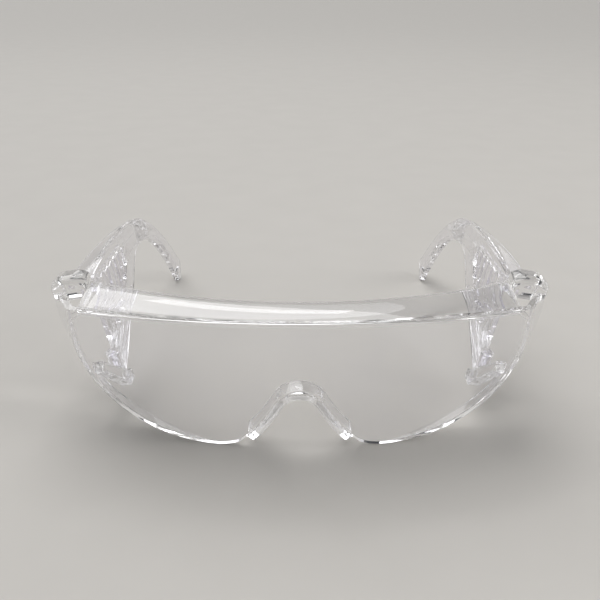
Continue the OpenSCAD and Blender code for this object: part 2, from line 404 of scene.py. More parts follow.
def loft(name: str, rings: Sequence[Sequence[Sequence[float]]]) -> bpy.types.Object:
    """Skins a row of closed rings, with an end face on each end.

    Args:
        name: The object's name.
        rings: Rings of the same count of points.

    Returns:
        The closed loft.
    """
    n = len(rings[0])
    verts = [p for ring in rings for p in ring]
    ends = [list(range(n)), list(range(len(verts) - n, len(verts)))]
    return new_object(name, verts, ring_faces(len(rings), n) + ends)


def bevelled(obj: bpy.types.Object, width: float, segments: int = 2, angle: float = 32,
             flat_faces: bool = False) -> bpy.types.Object:
    """Rounds the sharp edges of an object.

    Args:
        obj: The object.
        width: Width of the round.
        segments: Steps in the round.
        angle: Edges sharper than this many degrees are rounded.
        flat_faces: True where neighbouring faces of one plane are merged first.

    Returns:
        The same object.
    """
    if flat_faces:
        with opened(obj.data) as bm:
            bmesh.ops.remove_doubles(bm, verts=bm.verts, dist=JOIN_GAP)
            bmesh.ops.dissolve_limit(bm, angle_limit=math.radians(FLAT_ANGLE), verts=bm.verts, edges=bm.edges)
    mod = obj.modifiers.new("round", "BEVEL")
    mod.width = width
    mod.segments = segments
    mod.limit_method = "ANGLE"
    mod.angle_limit = math.radians(angle)
    mod.use_clamp_overlap = True
    mod.harden_normals = False
    settle(obj)
    return obj


def moulded_soft(obj: bpy.types.Object, voxel: float, passes: int, share: float = 0.5) -> bpy.types.Object:
    """Softens a chunky moulding, with fillets in its corners.

    Args:
        obj: The object.
        voxel: Step of the new skin.
        passes: Rounds of smoothing.
        share: How far each round moves a point.

    Returns:
        The same object.
    """
    remesh = obj.modifiers.new("skin", "REMESH")
    remesh.mode = "VOXEL"
    remesh.voxel_size = voxel
    smooth = obj.modifiers.new("soften", "SMOOTH")
    smooth.factor = share
    smooth.iterations = passes
    settle(obj)
    return obj


def cleaned(obj: bpy.types.Object) -> bpy.types.Object:
    """Closes up the needle faces that joins leave behind.

    Args:
        obj: The object, in millimetres.

    Returns:
        The same object.
    """
    with opened(obj.data) as bm:
        bmesh.ops.triangulate(bm, faces=bm.faces)
        bmesh.ops.remove_doubles(bm, verts=bm.verts, dist=JOIN_GAP)
        bmesh.ops.dissolve_degenerate(bm, edges=bm.edges, dist=JOIN_GAP)
    return obj


def shaded(obj: bpy.types.Object, angle: float = 35) -> bpy.types.Object:
    """Smooths the shading of an object up to an angle.

    Args:
        obj: The object.
        angle: Edges sharper than this many degrees stay crisp.

    Returns:
        The same object.
    """
    obj.data.shade_smooth()
    obj.data.set_sharp_from_angle(angle=math.radians(angle))
    return obj


@dataclass(frozen=True)
class MouldedPolycarbonate:
    """Clear polycarbonate, injection moulded in a polished tool.

    The eye gets a bright glassy gloss, white glints along the edges, a faint tint in the depth, and a slow
    wave in the surface where the melt flowed.
    """

    name: str
    clear: str = "#FEFEFE"
    depth: str = "#F9F9FC"
    ior: float = 1.586
    polish: float = 0.012
    haze: float = 0.05
    haze_from: float = 0.45
    haze_to: float = 0.75
    flow_mm: float = 14.0
    flow_detail: float = 2.0
    haze_mm: float = 5.0
    haze_detail: float = 4.0
    wave: float = 0.02

    def material(self) -> bpy.types.Material:
        """Builds the finish.

        Returns:
            The material.
        """
        mat = bpy.data.materials.new(self.name)
        tree = blank_tree(mat)
        where = add_node(tree, "ShaderNodeTexCoord").outputs["Object"]
        flow = add_node(tree, "ShaderNodeTexNoise",
                        {"Scale": 1 / (self.flow_mm * MM), "Detail": self.flow_detail}, {"Vector": where})
        cloud = add_node(tree, "ShaderNodeTexNoise",
                         {"Scale": 1 / (self.haze_mm * MM), "Detail": self.haze_detail}, {"Vector": where})
        tint = add_node(tree, "ShaderNodeMix",
                        {"data_type": "RGBA", 6: linear(self.clear), 7: linear(self.depth)},
                        {0: flow.outputs["Fac"]})
        gloss = add_node(tree, "ShaderNodeMapRange",
                         {"To Min": self.polish, "To Max": self.haze,
                          "From Min": self.haze_from, "From Max": self.haze_to},
                         {"Value": cloud.outputs["Fac"]})
        bump = add_node(tree, "ShaderNodeBump", {"Strength": self.wave, "Distance": MM},
                        {"Height": flow.outputs["Fac"]})
        skin = add_node(tree, "ShaderNodeBsdfPrincipled", {"IOR": self.ior, "Transmission Weight": 1.0},
                        {"Base Color": tint.outputs[2], "Roughness": gloss.outputs["Result"],
                         "Normal": bump.outputs["Normal"]})
        add_node(tree, "ShaderNodeOutputMaterial", {}, {"Surface": skin.outputs["BSDF"]})
        return mat


@dataclass(frozen=True)
class PaintedFloor:
    """Matt painted board: pale, with a faint roller mottle."""

    name: str = "painted_board_matt"
    light: str = "#C9C5BF"
    dark: str = "#C3BFB9"
    mottle_mm: float = 30.0
    mottle_detail: float = 5.0
    roughness: float = 0.75

    def material(self) -> bpy.types.Material:
        """Builds the finish.

        Returns:
            The material.
        """
        mat = bpy.data.materials.new(self.name)
        tree = blank_tree(mat)
        where = add_node(tree, "ShaderNodeTexCoord").outputs["Object"]
        mottle = add_node(tree, "ShaderNodeTexNoise",
                          {"Scale": 1 / (self.mottle_mm * MM), "Detail": self.mottle_detail},
                          {"Vector": where})
        paint = add_node(tree, "ShaderNodeMix",
                         {"data_type": "RGBA", 6: linear(self.light), 7: linear(self.dark)},
                         {0: mottle.outputs["Fac"]})
        skin = add_node(tree, "ShaderNodeBsdfPrincipled", {"Roughness": self.roughness},
                        {"Base Color": paint.outputs[2]})
        add_node(tree, "ShaderNodeOutputMaterial", {}, {"Surface": skin.outputs["BSDF"]})
        return mat


@dataclass(frozen=True)
class Stance:
    """How the open glasses stand, and where the hinges are, in millimetres and degrees."""

    lean: float = 7.25
    middle_y: float = 37.7
    foot_lift: float = 0.2
    # The lens's own curve at the end of its level foot.
    foot_y: float = FRONT_Y + LENS_R - math.sqrt(LENS_R ** 2 - FOOT_HALF ** 2)
    hinge_half: float = 70.5
    hinge_height: float = 39.6
    hinge_lean: float = 9.3

    def standing(self) -> Matrix:
        """The move from the upright lens frame, in millimetres, to the part's frame, in metres.

        Returns:
            The move.
        """
        return (Matrix.Scale(MM, 4)
                @ Matrix.Translation((0, self.foot_y - self.middle_y, self.foot_lift))
                @ Matrix.Rotation(math.radians(self.lean), 4, "X")
                @ Matrix.Translation((0, -self.foot_y, 0)))

    def hinge(self) -> Matrix:
        """The move from the left hinge's frame to the upright lens frame."""
        return (Matrix.Translation((self.hinge_half, 0, self.hinge_height))
                @ Matrix.Rotation(math.radians(self.hinge_lean), 4, "Y"))


@dataclass(frozen=True)
class HingeSizes:
    """The sizes that the front, the temples and the pins share at a hinge, in millimetres."""

    knuckle_r: float = 2.4
    pin_r: float = 1.2
    bore_r: float = 1.25
    turn_gap: float = 0.35
    lug_h: float = 2.8
    lower_drop: float = 33.0
    lower_h: float = 4.0


@dataclass
class FrontMoulding:
    """The one-piece front: lens, side returns, brow, nose arch, corner blocks and lower lugs."""

    stance: Stance
    finish: bpy.types.Material
    # The lens and its side returns.
    lens_r: float = LENS_R
    wall: float = 2.2
    front_y: float = FRONT_Y
    fold_half: float = 73.0
    foot_half: float = FOOT_HALF
    corner_height: float = 36.0
    return_depth: float = 19.5
    return_least: float = 0.3
    return_power: float = 0.28
    splay: float = 28.0
    fold_round: float = 1.3
    # The inner fold: its place as a share of the wall, its round as a share of the outer one, and its
    # least depth.
    inner_fold: float = 0.85
    inner_round: float = 0.6
    inner_least: float = 0.1
    # The most of the return's depth that the fold's round may take, as a share.
    round_most: float = 0.45
    sheet_round: float = 0.45
    corner_rows: int = 26
    side_rows: int = 10
    front_cols: int = 44
    round_cols: int = 6
    return_cols: int = 6
    # The brow shelf, and how far out its curve is followed.
    brow_height: float = 48.4
    brow_fall: float = 3.1
    brow_wall: float = 2.2
    brow_depth: float = 12.0
    brow_rear_r: float = 136.0
    brow_lip: float = 0.6
    brow_end: float = 68.6
    brow_follow: float = 90.0
    # The round of the brow's edges, as a share of half its wall.
    brow_edge: float = 0.55
    brow_edge_steps: int = 4
    brow_cols: int = 96
    # The turned end of the brow's lip.
    turn_from: float = 65.6
    turn_reach: float = 5.6
    turn_drop: float = 4.6
    turn_r: float = 1.1
    turn_end_r: float = 0.75
    turn_end_lip: float = 0.5
    turn_steps: int = 14
    turn_sides: int = 16
    # The nose arch, and the flare of the lens beside its legs.
    nose_r: float = 6.0
    nose_centre: float = 13.2
    nose_half: float = 18.6
    nose_wall: float = 3.4
    nose_depth: float = 9.0
    nose_crown_wall: float = 2.6
    nose_leg_end: float = 4.2
    nose_leg_heights: tuple[float, float] = (6.4, 8.8)
    nose_foot_sink: float = 1.0
    # Angles of the crown's points in degrees, and how often the arch's corners are cut.
    nose_crown: Sequence[int] = range(160, 19, -10)
    nose_rounds: int = 2
    nose_edge: float = 0.9
    nose_edge_steps: int = 5
    nose_end_round: float = 0.5
    flare_w: float = 10.0
    flare_h: float = 2.6
    flare_low: float = -1.5
    flare_lap: float = 0.2
    flare_tuck: float = 1.4
    flare_pull: float = 1.0
    flare_steps: int = 8
    # How far the cut under the nose arch reaches beyond what it cuts.
    cut_spread: float = 2.2
    cut_low: float = -2.0
    cut_front: float = 5.0
    cut_rear: float = 30.0
    cut_ease: float = 0.1
    # The corner blocks and their bearing lugs.
    hinge: HingeSizes = HingeSizes()
    bore_past: float = 3.0
    bore_rise: float = 1.0
    block_w: float = 10.2
    block_front: float = 11.0
    block_low: float = 2.2
    block_top: float = 9.4
    block_round: float = 4.0
    block_round_step: int = 10
    block_ear_w: float = 3.6
    block_dome: float = 9.0
    block_middle: Point3 = (3.2, -5.5, 1.0)
    dome_rings: int = 40
    dome_sides: int = 64
    web_inset: float = 0.1
    web_reach: float = 2.0
    web_end: float = -0.2
    web_ease: float = 0.05
    riser_sink: float = 1.0
    # The lower lugs' gussets, and the curve that trims them to the lens.
    gusset_w: float = 4.2
    gusset_inset: float = 1.2
    gusset_start: float = -1.35
    gusset_toe: float = 3.0
    gusset_reach: float = 25.0
    gusset_rise: float = 21.0
    trim_sides: int = 720
    trim_low: float = -60.0
    trim_high: float = 90.0
    # The soft skin of the blocks and lugs.
    skin_step: float = 0.22
    block_passes: int = 50
    lug_passes: int = 6
    lower_passes: int = 8

    @property
    def arc_y(self) -> float:
        """Centre of the lens's curve, seen from above."""
        return self.front_y + self.lens_r

    def row_half(self, z: float) -> float:
        """Half width of the front at a height.

        Args:
            z: The height.

        Returns:
            The distance from the middle to the fold.
        """
        if z >= self.corner_height:
            return self.fold_half
        spread = math.sqrt(max(0.0, 1 - (1 - z / self.corner_height) ** 2))
        return self.foot_half + (self.fold_half - self.foot_half) * spread

    def brow_top(self, x: float) -> float:
        """Height of the brow's upper face at a distance from the middle."""
        arch = (self.fold_half ** 2 + self.brow_fall ** 2) / (2 * self.brow_fall)
        return self.brow_height - arch + math.sqrt(arch ** 2 - x ** 2)

    def arc(self, x: float, radius: float) -> Vector:
        """A point of the lens's curve, seen from above."""
        return Vector((x, self.arc_y - math.sqrt(radius ** 2 - x ** 2)))

    def half_row(self, z: float, inside: bool) -> list[Vector]:
        """Half of a row of the sheet, from the middle round the fold to the end of the return.

        Args:
            z: The row's height.
            inside: True for the inner face.

        Returns:
            Points seen from above.
        """
        share = min(1.0, (z / self.corner_height) ** self.return_power) if z > 0 else 0.0
        depth = self.return_least + (self.return_depth - self.return_least) * share
        splay = math.radians(self.splay)
        fold = self.arc(self.row_half(z), self.lens_r)
        back = fold + depth * Vector((math.sin(splay), math.cos(splay)))
        radius, turn = self.lens_r, self.fold_round
        if inside:
            radius -= self.wall
            turn *= self.inner_round
            fold = self.arc(self.row_half(z) - self.wall * self.inner_fold, radius)
            back = Vector((back.x - self.wall * math.cos(splay), max(back.y, fold.y + self.inner_least)))
        size = min(turn, self.round_most * (back - fold).length)
        turn_x = fold.x - size
        row = [self.arc(turn_x * i / self.front_cols, radius) for i in range(self.front_cols + 1)]
        leave = fold + (back - fold).normalized() * size
        start = row[-1]
        for i in range(1, self.round_cols + 1):
            t = i / self.round_cols
            row.append(start * (1 - t) ** 2 + fold * 2 * t * (1 - t) + leave * t * t)
        row += [leave + (back - leave) * i / self.return_cols for i in range(1, self.return_cols + 1)]
        return row

    def sheet_ring(self, z: float, lift: float) -> list[Point3]:
        """A whole row of the sheet, along its outer face and back along its inner one.

        Args:
            z: The height of the row before it is lifted.
            lift: How far it is lifted towards the middle of the brow's wall, as a share.

        Returns:
            The points in order.
        """
        ring = []
        for inside in (False, True):
            half = self.half_row(z, inside)
            row = [Vector((-p.x, p.y)) for p in half[:0:-1]] + half
            for p in reversed(row) if inside else row:
                top = self.brow_top(min(abs(p.x), self.brow_follow)) - self.brow_wall / 2
                ring.append((p.x, p.y, z + (top - z) * lift))
        return ring

    def lens_sheet(self) -> bpy.types.Object:
        """Builds the lens with its side returns, up into the brow.

        Returns:
            The closed sheet, in the upright lens frame.
        """
        rings = []
        for j in range(self.corner_rows + 1):
            rise = 1 - math.cos(math.pi / 2 * j / self.corner_rows)
            rings.append(self.sheet_ring(self.corner_height * rise, 0.0))
        for j in range(1, self.side_rows + 1):
            rings.append(self.sheet_ring(self.corner_height, j / self.side_rows))
        n = len(rings[0])
        verts = [p for ring in rings for p in ring]
        faces = ring_faces(len(rings), n)
        for up in (0, len(verts) - n):
            faces += [[up + i, up + i + 1, up + n - 2 - i, up + n - 1 - i] for i in range(n // 2 - 1)]
        return new_object("front_moulding", verts, faces)

    def brow_shelf(self) -> bpy.types.Object:
        """Builds the brow shelf with rounded front and rear edges.

        Returns:
            The closed shelf, in the upright lens frame.
        """
        rings = []
        edge = self.brow_edge * self.brow_wall / 2
        rear_y = self.front_y + self.brow_depth + self.brow_rear_r
        for i in range(self.brow_cols + 1):
            x = self.brow_end * (2 * i / self.brow_cols - 1)
            front = self.arc(x, self.lens_r + self.brow_lip).y
            rear = rear_y - math.sqrt(self.brow_rear_r ** 2 - x ** 2)
            top = self.brow_top(x)
            section = rounded_box((front, rear), (top - self.brow_wall, top), edge, self.brow_edge_steps)
            rings.append([(x, y, z) for y, z in section])
        return loft("brow", rings)

    def brow_turn(self) -> bpy.types.Object:
        """Builds the left end of the brow's lip, which turns down into the fold.

        Returns:
            The closed bead, in the upright lens frame.
        """
        path = []
        for i in range(self.turn_steps + 1):
            t = i / self.turn_steps
            x = self.turn_from + self.turn_reach * math.sin(math.pi / 2 * t)
            drop = self.turn_drop * (1 - math.cos(math.pi / 2 * t))
            path.append(Vector((x, self.brow_top(x) - self.brow_wall / 2 - drop)))
        rings = []
        for i, p in enumerate(path):
            t = i / self.turn_steps
            along = heading(path, i)
            r = self.turn_r + (self.turn_end_r - self.turn_r) * t
            lip = self.brow_lip + (self.turn_end_lip - self.brow_lip) * t
            y = self.arc(p.x, self.lens_r).y + r - lip
            rings.append([(p.x - along.y * a, y + b, p.y + along.x * a)
                          for a, b in circle((0, 0), r, self.turn_sides)])
        return loft("brow_turn", rings)

    def nose_path(self) -> list[Vector]:
        """Middle line of the nose arch, from its right leg over the crown to its left leg.

        Returns:
            Points seen from the front.
        """
        mid = self.nose_r + self.nose_wall / 2
        foot = self.nose_half + self.nose_wall / 2
        slope = (foot - mid) / (self.nose_centre + self.nose_foot_sink)
        heights = (self.nose_leg_end, *self.nose_leg_heights)
        leg = [Vector((-(mid + slope * (self.nose_centre - z)), z)) for z in heights]
        crown = [Vector(p) for p in arc_points((0.0, self.nose_centre), mid, self.nose_crown)]
        line = leg + crown + [Vector((-p.x, p.y)) for p in reversed(leg)]
        near, far = NEAR_SHARE, 1 - NEAR_SHARE
        for _ in range(self.nose_rounds):
            finer = [line[0]]
            for a, b in zip(line, line[1:]):
                finer += [a * near + b * far, a * far + b * near]
            line = finer + [line[-1]]
        return line

    def nose_flange(self) -> bpy.types.Object:
        """Builds the thick arch that rests on the nose.

        Returns:
            The closed arch, in the upright lens frame.
        """
        path = self.nose_path()
        front = self.front_y - self.brow_lip
        rear = front + self.nose_depth
        rings = []
        for i, p in enumerate(path):
            along = heading(path, i)
            out = Vector((-along.y, along.x))
            half = (self.nose_wall + (self.nose_crown_wall - self.nose_wall) * along.x ** 2) / 2
            section = rounded_box((front, rear), (-half, half), self.nose_edge, self.nose_edge_steps)
            rings.append([(p.x + out.x * reach, y, p.y + out.y * reach) for y, reach in section])
        return bevelled(loft("nose", rings), self.nose_end_round, segments=3, angle=50)

    def nose_cut(self) -> bpy.types.Object:
        """The space under the middle of the nose arch's wall, which the lens leaves free.

        Returns:
            The closed space, in the upright lens frame.
        """
        path = self.nose_path()
        outline = [(p.x, p.y) for p in path]
        outline += [(path[-1].x + self.cut_spread, self.cut_low), (path[0].x - self.cut_spread, self.cut_low)]
        front, rear = self.front_y - self.cut_front, self.front_y + self.cut_rear
        cut = prism("nose_cut", outline, front, rear, FRONT)
        end, near = self.nose_half + self.flare_w, self.nose_half
        rise = bezier((end, -self.flare_lap), (end - self.flare_w / 2, 0.0),
                      (near + self.flare_pull, self.flare_h / 2), (near, self.flare_h), self.flare_steps)
        rise.append((near - self.flare_tuck, self.nose_leg_end - self.flare_lap))
        flare = [(-end, self.flare_low), (end, self.flare_low)]
        flare += rise + [(-x, z) for x, z in reversed(rise)]
        join(cut, prism("flare", flare, front + self.cut_ease, rear - self.cut_ease, FRONT), Join.ADD)
        return cut

    def dome(self) -> bpy.types.Object:
        """The ball that rounds a corner block.

        Returns:
            The closed ball, in the left hinge's frame.
        """
        cx, cy, cz = self.block_middle
        rings = []
        for i in range(1, self.dome_rings):
            lat = math.pi * (i / self.dome_rings - 0.5)
            r, z = self.block_dome * math.cos(lat), cz + self.block_dome * math.sin(lat)
            rings.append([(x, y, z) for x, y in circle((cx, cy), r, self.dome_sides)])
        return loft("dome", rings)

    def hinge_block(self) -> bpy.types.Object:
        """Builds the left corner block with its bearing lug.

        Returns:
            The closed block, in the left hinge's frame.
        """
        near = -self.hinge.knuckle_r - self.hinge.turn_gap
        r, ear = self.block_round, self.block_ear_w / 2
        outline = [(-self.hinge.knuckle_r, near), (-self.hinge.knuckle_r, -self.block_front)]
        middle = (self.block_w - r, r - self.block_front)
        outline += arc_points(middle, r, range(-90, 1, self.block_round_step))
        outline += arc_points((self.block_w - ear, -ear), ear, range(0, 181, ARC_STEP))
        outline.append((self.block_w - 2 * ear, near))
        block = prism("block", outline, self.block_low, self.block_top, UPRIGHT)
        join(block, self.dome(), Join.KEEP)
        moulded_soft(block, self.skin_step, self.block_passes)
        low, high = -self.hinge.turn_gap - self.hinge.lug_h, -self.hinge.turn_gap
        join(block, post("lug", self.hinge.knuckle_r, low, high), Join.ADD)
        k, far = self.hinge.knuckle_r - self.web_inset, near - self.web_reach
        for name, end, top in (("web", self.web_end, high - self.web_ease),
                               ("riser", near, self.block_low + self.riser_sink)):
            foot = [(-k, far), (k, far), (k, end), (-k, end)]
            join(block, prism(name, foot, low + self.web_ease, top, UPRIGHT), Join.ADD)
        moulded_soft(block, self.skin_step, self.lug_passes)
        bore = post("bore", self.hinge.bore_r, low - self.bore_past, self.hinge.turn_gap + self.bore_rise)
        join(block, bore, Join.CUT)
        return block

    def lower_lug(self) -> bpy.types.Object:
        """Builds the left lower lug on its gusset.

        Returns:
            The closed lug, in the left hinge's frame.
        """
        top = -self.hinge.lower_drop
        low = top - self.hinge.lower_h
        lug = post("lower_lug", self.hinge.knuckle_r, low, top)
        start, far = self.gusset_start, -self.gusset_reach
        end = -self.hinge.knuckle_r - 2 * self.hinge.turn_gap
        web = [(start, top), (start, low), (end - self.gusset_toe, low), (far, low + self.gusset_rise),
               (far, top + self.gusset_rise), (end, top)]
        gusset = prism("gusset", web, -self.gusset_inset - self.gusset_w, -self.gusset_inset, PANEL)
        join(lug, gusset, Join.ADD)
        moulded_soft(lug, self.skin_step, self.lower_passes)
        join(lug, post("bore", self.hinge.bore_r, low - self.bore_past, top + self.bore_past), Join.CUT)
        inner = circle((0, self.arc_y), self.lens_r - self.wall / 2, self.trim_sides)
        trim = prism("trim", inner, self.trim_low, self.trim_high, UPRIGHT)
        join(lug, moved(trim, self.stance.hinge().inverted()), Join.KEEP)
        return lug

    def build(self) -> bpy.types.Object:
        """Builds the whole front.

        Returns:
            The piece, dressed and riding on the front.
        """
        front = self.lens_sheet()
        join(front, self.nose_cut(), Join.CUT)
        bevelled(front, self.sheet_round, angle=40)
        join(front, self.brow_shelf(), Join.ADD)
        join(front, self.nose_flange(), Join.ADD)
        for side in Side:
            join(front, moved(self.brow_turn(), side.mirror), Join.ADD)
            for part in (self.hinge_block(), self.lower_lug()):
                join(front, moved(part, side.mirror @ self.stance.hinge()), Join.ADD)
        moved(cleaned(front), self.stance.standing())
        shaded(front)
        front.data.materials.clear()
        front.data.materials.append(self.finish)
        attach(front, "front")
        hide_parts("lens_shield", "brow_guard", "nose_bridge", "left_hinge_block",
                    "right_hinge_block", "left_lower_lug", "right_lower_lug")
        return front


@dataclass
class VentLouvres:
    """Slats and saw-tooth hoods that fill a temple's vent, drawn in the temple's plane."""

    bays: int = 6
    start: float = 8.6
    length: float = 31.0
    # Heights of the opening's upper edge at its ends, and of its lower edge at its ends and its knee.
    top: tuple[float, float] = (0.4, -3.7)
    low: tuple[float, float, float] = (-23.6, -19.4, -11.6)
    low_knee: float = 20.0
    # The slats, drawn past the opening and then trimmed to it.
    slat_wall: float = 1.0
    slat_out: float = 1.2
    slat_reach: float = 40.0
    slat_round: float = 0.28
    slat_round_steps: int = 3
    depth: float = 3.2
    inner_face: float = -1.0
    rim_bite: float = 0.25
    trim_in: float = 3.0
    trim_out: float = 8.0
    # The hoods, with a short flat at their deep end.
    hood_high: float = 1.7
    hood_low: float = 0.6
    hood_lap: float = 0.2
    hood_flat: float = 0.6
    hood_flat_fall: float = 0.02
    hood_round: float = 0.25

    def opening(self) -> list[Point2]:
        """Outline of the vent in the temple's plane.

        Returns:
            The points in order, from the front end of the upper edge.
        """
        end = self.start + self.length
        return [(self.start, self.top[0]), (end, self.top[1]), (end, self.low[2]),
                (self.start + self.low_knee, self.low[1]), (self.start, self.low[0])]

    def tree(self, finish: bpy.types.Material) -> bpy.types.NodeTree:
        """Builds the node tree that repeats a rounded slat along the vent.

        Args:
            finish: The material of the slats.

        Returns:
            The tree, with its sizes as named inputs.
        """
        tree = bpy.data.node_groups.new("vent_slats", "GeometryNodeTree")
        face = tree.interface
        face.new_socket("Geometry", in_out="OUTPUT", socket_type="NodeSocketGeometry")
        face.new_socket("Count", in_out="INPUT", socket_type="NodeSocketInt")
        for name in ("Start", "Length", "Slat Wall", "Depth", "Inner Face", "Reach", "Edge Round"):
            face.new_socket(name, in_out="INPUT", socket_type="NodeSocketFloat")
        sizes = add_node(tree, "NodeGroupInput").outputs
        less = add_node(tree, "ShaderNodeMath", {"operation": "SUBTRACT"},
                        {0: sizes["Length"], 1: sizes["Slat Wall"]})
        gaps = add_node(tree, "ShaderNodeMath", {"operation": "SUBTRACT", 1: 1.0}, {0: sizes["Count"]})
        pitch = add_node(tree, "ShaderNodeMath", {"operation": "DIVIDE"},
                         {0: less.outputs[0], 1: gaps.outputs[0]})
        first = add_node(tree, "ShaderNodeMath", {"operation": "MULTIPLY_ADD", 1: 0.5},
                         {0: sizes["Slat Wall"], 2: sizes["Start"]})
        across = add_node(tree, "ShaderNodeMath", {"operation": "MULTIPLY_ADD", 1: 0.5},
                          {0: sizes["Depth"], 2: sizes["Inner Face"]})
        begin = add_node(tree, "ShaderNodeCombineXYZ", {}, {"X": across.outputs[0], "Y": first.outputs[0]})
        step = add_node(tree, "ShaderNodeCombineXYZ", {}, {"Y": pitch.outputs[0]})
        row = add_node(tree, "GeometryNodeMeshLine", {"mode": "OFFSET"},
                       {"Count": sizes["Count"], "Start Location": begin.outputs[0],
                        "Offset": step.outputs[0]})
        section = add_node(tree, "GeometryNodeCurvePrimitiveQuadrilateral", {},
                           {"Width": sizes["Depth"], "Height": sizes["Slat Wall"]})
        rounded = add_node(tree, "GeometryNodeFilletCurve", {"mode": "POLY", "Count": self.slat_round_steps},
                           {"Curve": section.outputs[0], "Radius": sizes["Edge Round"]})
        drop = add_node(tree, "ShaderNodeMath", {"operation": "MULTIPLY", 1: -1.0}, {0: sizes["Reach"]})
        foot = add_node(tree, "ShaderNodeCombineXYZ", {}, {"Z": drop.outputs[0]})
        head = add_node(tree, "ShaderNodeCombineXYZ", {}, {"Z": sizes["Reach"]})
        rise = add_node(tree, "GeometryNodeCurvePrimitiveLine", {},
                        {"Start": foot.outputs[0], "End": head.outputs[0]})
        slat = add_node(tree, "GeometryNodeCurveToMesh", {"Fill Caps": True},
                        {"Curve": rise.outputs[0], "Profile Curve": rounded.outputs[0]})
        spread = add_node(tree, "GeometryNodeInstanceOnPoints", {},
                          {"Points": row.outputs[0], "Instance": slat.outputs[0]})
        real = add_node(tree, "GeometryNodeRealizeInstances", {}, {0: spread.outputs[0]})
        dressed = add_node(tree, "GeometryNodeSetMaterial", {"Material": finish},
                           {"Geometry": real.outputs[0]})
        add_node(tree, "NodeGroupOutput", {}, {0: dressed.outputs[0]})
        return tree

    def slats(self, finish: bpy.types.Material) -> bpy.types.Object:
        """Makes the slats, trimmed so that they bite into the vent's rim.

        Args:
            finish: The material of the slats.

        Returns:
            The closed slats, in the left hinge's frame.
        """
        obj = placed("slats", bpy.data.meshes.new("slats"))
        mod = obj.modifiers.new("slats", "NODES")
        tree = self.tree(finish)
        mod.node_group = tree
        values = {"Count": self.bays + 1, "Start": self.start, "Length": self.length,
                  "Slat Wall": self.slat_wall, "Depth": self.depth, "Inner Face": self.inner_face,
                  "Reach": self.slat_reach, "Edge Round": self.slat_round}
        for item in tree.interface.items_tree:
            if item.in_out == "INPUT" and item.name in values:
                mod[item.identifier] = values[item.name]
        settle(obj)
        with opened(obj.data) as bm:
            close_up(bm)
        bite = self.rim_bite
        cx = self.start + self.length / 2
        cy = (self.top[0] + self.low[1]) / 2
        rim = [(x + math.copysign(bite, x - cx), y + math.copysign(bite, y - cy)) for x, y in self.opening()]
        trim = prism("rim", rim, self.inner_face - self.trim_in, self.inner_face + self.trim_out, PANEL)
        join(obj, trim, Join.KEEP)
        return obj

    def hoods(self) -> list[bpy.types.Object]:
        """Makes the saw-tooth hoods along the vent's upper edge.

        Returns:
            One closed hood for each bay, in the left hinge's frame.
        """
        made = []
        pitch = self.length / self.bays
        fall = (self.top[1] - self.top[0]) / self.length
        for i in range(self.bays):
            s = self.start + i * pitch
            e = s + pitch + self.hood_lap
            at_s = self.top[0] + fall * (s - self.start)
            at_e = self.top[0] + fall * (e - self.start)
            outline = [(s, at_s + self.hood_lap), (s, at_s - self.hood_high),
                       (s + self.hood_flat, at_s - self.hood_high - self.hood_flat_fall),
                       (e, at_e - self.hood_low), (e, at_e + self.hood_lap)]
            hood = prism("hood", outline, self.inner_face, self.inner_face + self.depth, PANEL)
            made.append(bevelled(hood, self.hood_round))
        return made


